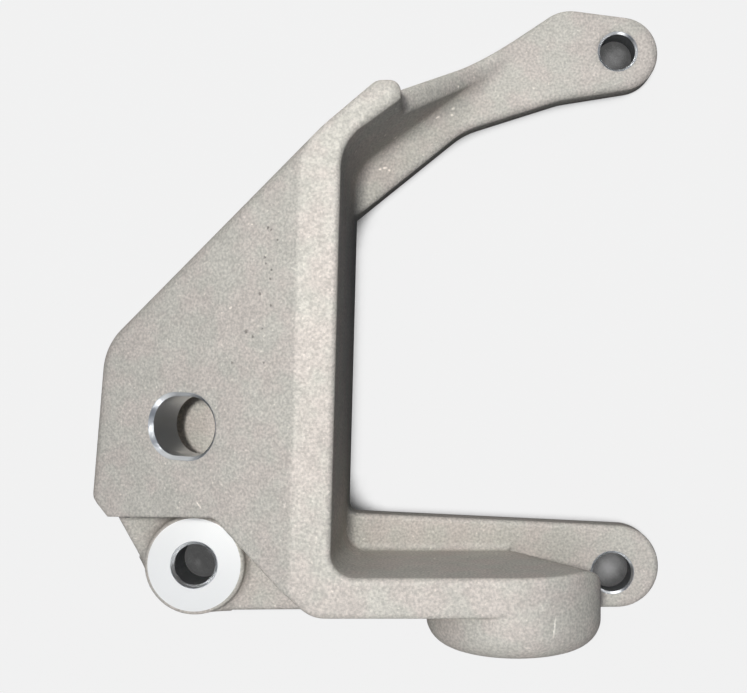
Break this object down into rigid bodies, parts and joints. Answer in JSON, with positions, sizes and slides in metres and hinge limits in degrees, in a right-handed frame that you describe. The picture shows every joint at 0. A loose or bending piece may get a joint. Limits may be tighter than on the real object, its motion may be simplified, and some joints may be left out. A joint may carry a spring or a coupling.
{
  "type": "engine mounting bracket",
  "caption": "Cast engine mounting bracket: flat plate with two arms, upright wall and shelf round a C-shaped gap, slanted hood with a bolt slot, round foot.",
  "frame": {"origin": "centre of the main bolt's bore, on the machined mounting face", "axes": "+Z along the main bore, out of the mounting face towards the wall's free edge; +X towards the ends of the two arms; +Y along the upright wall, from the shelf to the top arm"},
  "size_m": [0.1715, 0.1904, 0.0507],
  "materials": {
    "cast_aluminium": "as cast and shot blasted, with machined bores, spot face and mounting face"
  },
  "bodies": {
    "root": {"bracket_casting": "cast_aluminium"}
  },
  "joints": []
}
